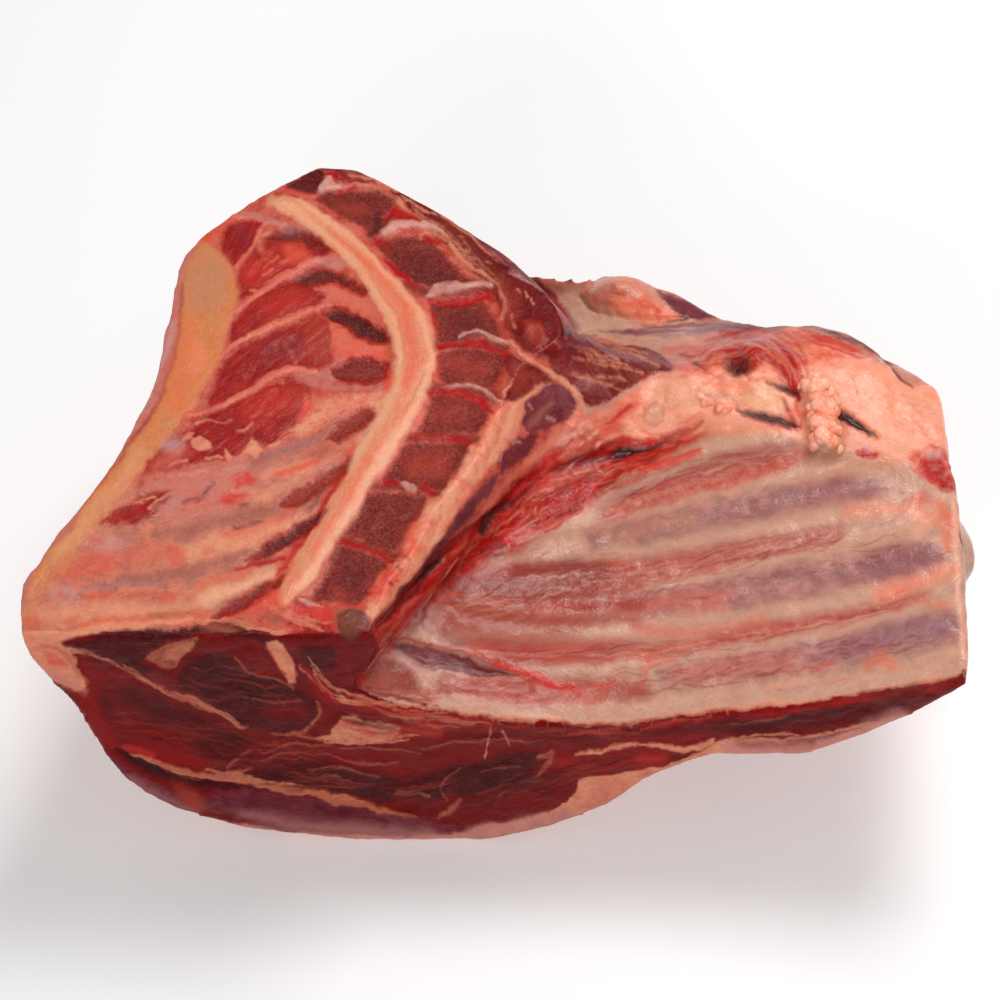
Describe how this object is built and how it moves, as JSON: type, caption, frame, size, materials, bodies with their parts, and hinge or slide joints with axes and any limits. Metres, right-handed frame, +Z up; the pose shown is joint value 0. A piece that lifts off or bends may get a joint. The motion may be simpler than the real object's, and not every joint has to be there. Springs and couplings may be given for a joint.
{
  "type": "lamb forequarter",
  "caption": "Raw lamb forequarter split down the backbone and laid on its shoulder, with the sawn backbone, the hollow rib wall and the cross cut showing.",
  "frame": {"origin": "bottom centre of the bounding box, on the table that the shoulder rests on", "axes": "+X from the withers to the breast cut, +Y from the cross cut behind the ribs to the neck, +Z up, out of the sawn backbone"},
  "size_m": [0.3118, 0.1956, 0.1208],
  "materials": {
    "meat": "moist raw muscle with fat cover and pale seams, glossy where wet",
    "sawn_bone": "sawn red marrow bone, rough and damp",
    "cartilage": "pale bluish-white cartilage, smooth and moist",
    "nerve": "cream cord with pink blood tints, wet",
    "sinew": "yellow elastic ligament, smooth cut",
    "rib_lining": "grey-purple ribs under a glossy clear lining",
    "fat": "soft pink-white fat, smooth and slightly glossy"
  },
  "bodies": {
    "root": {"disc_1": "cartilage", "disc_2": "cartilage", "disc_3": "cartilage", "disc_4": "cartilage", "disc_5": "cartilage", "disc_6": "cartilage", "disc_7": "cartilage", "disc_8": "cartilage", "fat_tag": "fat", "flesh": "meat", "foreleg": "fat", "nuchal_ligament": "sinew", "rib_1": "rib_lining", "rib_2": "rib_lining", "rib_3": "rib_lining", "rib_4": "rib_lining", "shoulder_blade": "cartilage", "spinal_cord": "nerve", "vertebra_1": "sawn_bone", "vertebra_2": "sawn_bone", "vertebra_3": "sawn_bone", "vertebra_4": "sawn_bone", "vertebra_5": "sawn_bone", "vertebra_6": "sawn_bone", "vertebra_7": "sawn_bone", "vertebra_8": "sawn_bone"}
  },
  "joints": []
}
